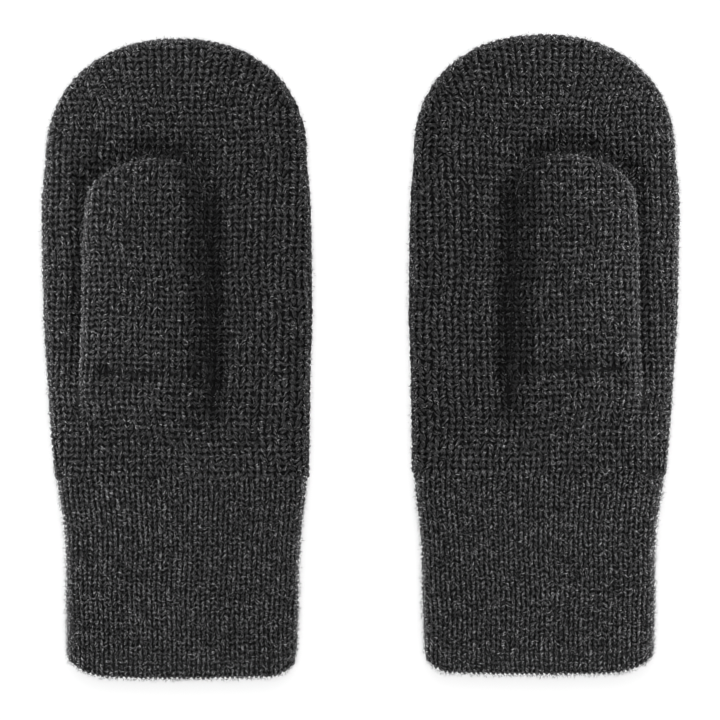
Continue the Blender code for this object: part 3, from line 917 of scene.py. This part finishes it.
def shell_grids(part):
    """The grids of a piece's outer face, and whether their rows run the other way."""
    if part == "palm":
        return [(palm_grid(HAND_SHELL_SINK), False)]
    if part == "back":
        back = outline_grid(HAND, HAND_SHELL_START, EDGE_ROLL, back_surface, BACK_SHELL_SINK, COARSE)
        return [(back, False)]
    if part == "cuff":
        return [(cuff_grid(CUFF_SHELL_SINK), False)]
    start = THUMB_SHELL_START
    front = outline_grid(THUMB, start, THUMB_ROLL, thumb_surface, HAND_SHELL_SINK)
    under = outline_grid(THUMB, start, THUMB_ROLL, thumb_underside, -HIDDEN_SHELL_SINK, COARSE)
    return [(front, False), (under, True)]


class Tree:
    """A material's nodes, added and joined in one call each."""

    def __init__(self, name):
        self.material = bpy.data.materials.new(name)
        self.material.use_nodes = True
        self.nodes = self.material.node_tree.nodes
        self.shader = self.nodes["Principled BSDF"]

    def add(self, kind, values=(), **settings):
        node = self.nodes.new("ShaderNode" + kind)
        for key, value in settings.items():
            setattr(node, key, value)
        for key, value in dict(values).items():
            self.put(node.inputs[key], value)
        return node

    def put(self, socket, value):
        if isinstance(value, bpy.types.NodeSocket):
            self.material.node_tree.links.new(value, socket)
        else:
            socket.default_value = value

    def ramp(self, factor, stops):
        node = self.add("ValToRGB", {"Fac": factor})
        ramp = node.color_ramp
        while len(ramp.elements) < len(stops):
            ramp.elements.new(0.5)
        for element, (position, grey) in zip(ramp.elements, stops):
            element.position = position
            element.color = (grey, grey, grey * BLUE_TINT, 1.0)
        return node.outputs["Color"]

    def spread(self, value, onto, over=(0.0, 1.0)):
        """Maps the range over onto the range onto."""
        ends = {"From Min": over[0], "From Max": over[1], "To Min": onto[0], "To Max": onto[1]}
        return self.add("MapRange", {"Value": value, **ends}).outputs[0]

    def stretched(self, place, stretch):
        return self.add("VectorMath", {0: place, 1: stretch}, operation="MULTIPLY").outputs[0]

    def product(self, first, second):
        return self.add("Math", {0: first, 1: second}, operation="MULTIPLY").outputs[0]


def yarn_streaks(tree, parts):
    """Fibres drawn out along the yarn and twisted round it."""
    inputs = {0: parts["Y"], 1: YARN_TWIST, 2: parts["X"]}
    twist = tree.add("Math", inputs, operation="MULTIPLY_ADD").outputs[0]
    strand = tree.add("CombineXYZ", {"X": twist, "Y": parts["Y"], "Z": parts["Z"]}).outputs[0]
    drawn_out = tree.stretched(strand, YARN_STRETCH)
    noise = tree.add("TexNoise", {"Vector": drawn_out, "Scale": 1.0, "Detail": 2.5, "Roughness": 0.6})
    return noise.outputs[0]


def yarn_tone_and_painted_shade(tree, parts, ends):
    """How light the yarn is at a place: by its strand and in soft clouds, with painted shade darker at a
    leg's ends.
    """
    number = tree.add("TexWhiteNoise", {"W": parts["Z"]}, noise_dimensions="1D").outputs["Value"]
    strand_tone = tree.spread(number, STRAND_TONES)
    place = tree.stretched(tree.add("TexCoord").outputs["Object"], CLOUD_STRETCH)
    cloud = tree.add("TexNoise", {"Vector": place, "Scale": 1.0, "Detail": 2.0}).outputs[0]
    cloud_tone = tree.spread(cloud, CLOUD_TONES, over=CLOUD_REACH)
    # Painted shade: darker towards a leg's ends, where it dips under its neighbours
    off_middle = tree.add("Math", {0: parts["Y"]}, operation="ABSOLUTE").outputs[0]
    painted_end_shade = tree.spread(off_middle, (PAINTED_SHADE_AT_MIDDLE, ends), over=END_SHADE_REACH)
    return tree.product(tree.product(strand_tone, cloud_tone), painted_end_shade)


def wool(name, level, light, ends):
    """Melange yarn: dark fibres with lighter ones between them.

    light is how much lighter the lightest fibres are, and ends how dark the painted shade at a leg's ends is.
    """
    tree = Tree(name)
    yarn = tree.add("Attribute", attribute_name="yarn").outputs["Vector"]
    parts = tree.add("SeparateXYZ", {"Vector": yarn}).outputs
    streak = yarn_streaks(tree, parts)
    steps = (*GREY_STEPS, (LIGHTEST_STEP, light))
    stops = [(position, level * share) for position, share in steps]
    colour = tree.ramp(streak, stops)
    tone = yarn_tone_and_painted_shade(tree, parts, ends)
    shade = tree.add("VectorMath", {0: colour, "Scale": tone}, operation="SCALE").outputs[0]
    bump = tree.add("Bump", {"Strength": 0.7, "Distance": YARN_BUMP, "Height": streak})
    tree.put(tree.shader.inputs["Base Color"], shade)
    tree.put(tree.shader.inputs["Normal"], bump.outputs[0])
    finish_wool(tree)
    return tree.material


def finish_wool(tree):
    """Matt, with a faint sheen of nap."""
    tree.put(tree.shader.inputs["Roughness"], 1.0)
    tree.put(tree.shader.inputs["Specular IOR Level"], 0.06)
    tree.put(tree.shader.inputs["Sheen Weight"], 0.04)
    tree.put(tree.shader.inputs["Sheen Roughness"], 0.5)


def painted_shade_under_wool(name, level):
    """The cloth between the yarns, painted dark as the shade that falls between them."""
    tree = Tree(name)
    place = tree.add("TexCoord").outputs["Object"]
    noise = tree.add("TexNoise", {"Vector": place, "Scale": UNDER_GRAIN, "Detail": 3.0}).outputs[0]
    colour = tree.ramp(noise, [(0.35, level * 0.5), (0.65, level * 1.5)])
    bump = tree.add("Bump", {"Strength": 0.5, "Distance": 0.0001, "Height": noise})
    tree.put(tree.shader.inputs["Base Color"], colour)
    tree.put(tree.shader.inputs["Normal"], bump.outputs[0])
    finish_wool(tree)
    return tree.material


def fibre_wool(name, dark, light):
    """Single fibres. Most are dark grey and a few are light."""
    tree = Tree(name)
    yarn = tree.add("Attribute", attribute_name="yarn").outputs["Vector"]
    number = tree.add("SeparateXYZ", {"Vector": yarn}).outputs["Z"]
    tone = tree.add("TexWhiteNoise", {"W": number}, noise_dimensions="1D").outputs["Value"]
    colour = tree.ramp(tone, [(0.0, dark), (0.5, dark * 4), (0.64, light * 0.4), (1.0, light)])
    tree.put(tree.shader.inputs["Base Color"], colour)
    finish_wool(tree)
    return tree.material


def knit_pieces(hand, side, lattices, looks, rng):
    """The stitches of each piece of a mitten, as one joined mesh each."""
    ramp, palm, thumb, back, cuff_top, cuff_under = lattices
    across = cuff_scale(cuff_top[1]).reshape(-1, 1, 1, 1)
    fine = dict(leg=HAND_LEG, strands=HAND_STRANDS, sink=YARN_SINK, rng=rng)
    below = dict(leg=HAND_LEG, strands=UNDER_HAND_STRANDS, sink=UNDERSIDE_SINK, rng=rng)
    rib = dict(leg=CUFF_LEG, scale=across, rng=rng)
    knit = {
        "palm": [stitches(ramp_surface, ramp, **fine), stitches(palm_surface, palm, **fine)],
        "thumb": [stitches(thumb_surface, thumb, **fine)],
        "back": [stitches(back_surface, back, **below)],
        "cuff": [
            stitches(cuff_surface, cuff_top, strands=CUFF_STRANDS, sink=YARN_SINK, **rib),
            stitches(cuff_surface, cuff_under, strands=UNDER_CUFF_STRANDS, sink=UNDERSIDE_SINK, **rib),
        ],
    }
    pieces = {}
    for part, made in knit.items():
        pieces[part] = joined_mesh(f"{hand}_{part}_stitches", made, side)
        pieces[part].data.materials.append(looks[part])
    return pieces


def loose_pieces(hand, side, lattices, looks, rng):
    """The loose fibres of a mitten and the hairs at its edges."""
    ramp, palm, thumb, _, cuff_top, _ = lattices
    loose = [
        surface_fibres(ramp_surface, ramp, rng),
        surface_fibres(palm_surface, palm, rng),
        surface_fibres(thumb_surface, thumb, rng),
        surface_fibres(cuff_surface, cuff_top, rng, cuff_scale),
    ]
    fibres = joined_mesh(f"{hand}_fibres", loose, side)
    fibres.data.materials.append(looks["fibres"])
    # The edge hairs carry a painted highlight: their colour is far lighter than the loose fibres'
    fuzz = joined_mesh(f"{hand}_edge_fuzz", edge_halo(rng), side)
    fuzz.data.materials.append(looks["fuzz"])
    return fibres, fuzz


def edge_halo(rng):
    """Hairs along the outer edges of the hand and the cuff, and along the cuff's rim."""
    turn = np.where(rng.random(HALO_FIBRES) < HALO_ON_TIP, rng.uniform(0, math.pi / 2, HALO_FIBRES), 0.0)
    straight = rng.uniform(CUFF_LENGTH, SHOULDER, HALO_FIBRES)
    station = np.where(turn > 0, SHOULDER + HAND.tip_length * np.sin(turn) ** (2 / TIP_POWER), straight)
    width = HAND.width(station) * np.cos(turn) ** (2 / TIP_POWER)
    x = HAND.centre(station) + rng.choice([-1, 1], HALO_FIBRES) * width
    _, way_x, way_y = HAND.inside(x, station)
    out = rng.uniform(*HALO_STRIP, HALO_FIBRES)
    x, station = x - way_x * out, station - way_y * out
    along = rng.uniform(0, CUFF_LENGTH, CUFF_HALO_FIBRES)
    off = rng.uniform(*CUFF_HALO_STRIP, CUFF_HALO_FIBRES)
    u = np.where(rng.random(CUFF_HALO_FIBRES) < 0.5, off, 1 - off)
    rim = rng.uniform(*RIM_HALO_SPAN, RIM_HALO_FIBRES)
    return [
        halo_fibres(palm_surface, x, station, rng),
        halo_fibres(cuff_surface, u, along, rng),
        halo_fibres(cuff_surface, rim, rng.uniform(*RIM_HALO_STRIP, RIM_HALO_FIBRES), rng),
    ]


def build_mitten(hand, side, looks):
    """A mitten's shells and stitches. side is 1 for left and -1 for right."""
    rng = np.random.default_rng(SEEDS[hand])
    top = CUFF_WALES_ROUND // 2
    cuff = cuff_lattice(0, top), cuff_lattice(top, CUFF_WALES_ROUND)
    lattices = (*palm_lattices(), thumb_lattice(), back_lattice(), *cuff)
    knit = knit_pieces(hand, side, lattices, looks, rng)
    fibres = loose_pieces(hand, side, lattices, looks, rng)
    for part, cut in CUTS.items():
        node = f"{hand}_{part}"
        # The shell is painted dark, as the shade between the stitches
        cloth = cloth_shell(node + "_cloth", shell_grids(part), side, looks["under"])
        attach(cloth, "root")
        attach(knit[part], "root")
        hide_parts(node)
    for piece in fibres:
        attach(piece, "root")


def make_floor():
    mesh = bpy.data.meshes.new("floor")
    ways = [(-1, -1), (1, -1), (1, 1), (-1, 1)]
    corners = [(FLOOR_REACH * x, FLOOR_REACH * y, 0) for x, y in ways]
    mesh.from_pydata(corners, [], [(0, 1, 2, 3)])
    floor = bpy.data.objects.new("floor", mesh)
    bpy.context.scene.collection.objects.link(floor)
    tree = Tree("pale_floor")
    tree.put(tree.shader.inputs["Base Color"], (FLOOR_GREY, FLOOR_GREY, FLOOR_GREY, 1.0))
    tree.put(tree.shader.inputs["Roughness"], 0.9)
    tree.put(tree.shader.inputs["Emission Color"], (1.0, 1.0, 1.0, 1.0))
    tree.put(tree.shader.inputs["Emission Strength"], FLOOR_GLOW)
    mesh.materials.append(tree.material)


def make_softbox(name, place, size, power, aim=(0.0, 0.0, 0.0)):
    data = bpy.data.lights.new(name, "AREA")
    data.size = size
    data.energy = power
    light = bpy.data.objects.new(name, data)
    light.location = place
    light.rotation_euler = (Vector(aim) - Vector(place)).to_track_quat("-Z", "Y").to_euler()
    light.visible_camera = False
    bpy.context.scene.collection.objects.link(light)
    return light


def make_lights():
    """A wide softbox high past the tips, and for each mitten one on its outer side, which lights it alone."""
    make_softbox("overhead", OVERHEAD_PLACE, OVERHEAD_SIZE, OVERHEAD_POWER)
    for hand, side in (("left", 1), ("right", -1)):
        x, y, z = KEY_PLACE
        aim = (-side * CENTRE_TO_CENTRE / 2 * MM, 0.0, 0.0)
        key = make_softbox(f"{hand}_key", (-side * x + aim[0], y, z), KEY_LENGTH, KEY_POWER, aim)
        key.data.shape = "RECTANGLE"
        key.data.size_y = KEY_HEIGHT
        lit = bpy.data.collections.new(f"{hand}_lit")
        for piece in bpy.context.scene.objects:
            if piece.name.startswith(hand) and piece.type == "MESH":
                lit.objects.link(piece)
        key.light_linking.receiver_collection = lit
    world = bpy.data.worlds.new("studio")
    world.use_nodes = True
    background = world.node_tree.nodes["Background"]
    background.inputs["Color"].default_value = (1.0, 1.0, 1.0, 1.0)
    background.inputs["Strength"].default_value = WORLD_STRENGTH
    bpy.context.scene.world = world


def make_camera():
    data = bpy.data.cameras.new("camera")
    data.lens = LENS
    data.sensor_width = SENSOR
    field = PHOTO_PIXELS * PIXEL * MM
    camera = bpy.data.objects.new("camera", data)
    camera.location = (PHOTO_CENTRE[0] * MM, PHOTO_CENTRE[1] * MM, field * LENS / SENSOR + FRAME_HEIGHT * MM)
    bpy.context.scene.collection.objects.link(camera)
    bpy.context.scene.camera = camera


def main():
    bpy.context.scene.view_settings.view_transform = "Standard"
    make_camera()
    make_floor()
    looks = {
        **{part: wool(*yarn) for part, yarn in YARNS.items()},
        "under": painted_shade_under_wool("under_yarn", UNDER_PAINTED_SHADE_LEVEL),
        "fibres": fibre_wool("loose_fibres", *LOOSE_TONES),
        "fuzz": fibre_wool("edge_fuzz", *FUZZ_TONES_PAINTED_HIGHLIGHT),
    }
    build_mitten("left", 1, looks)
    build_mitten("right", -1, looks)
    make_lights()


main()
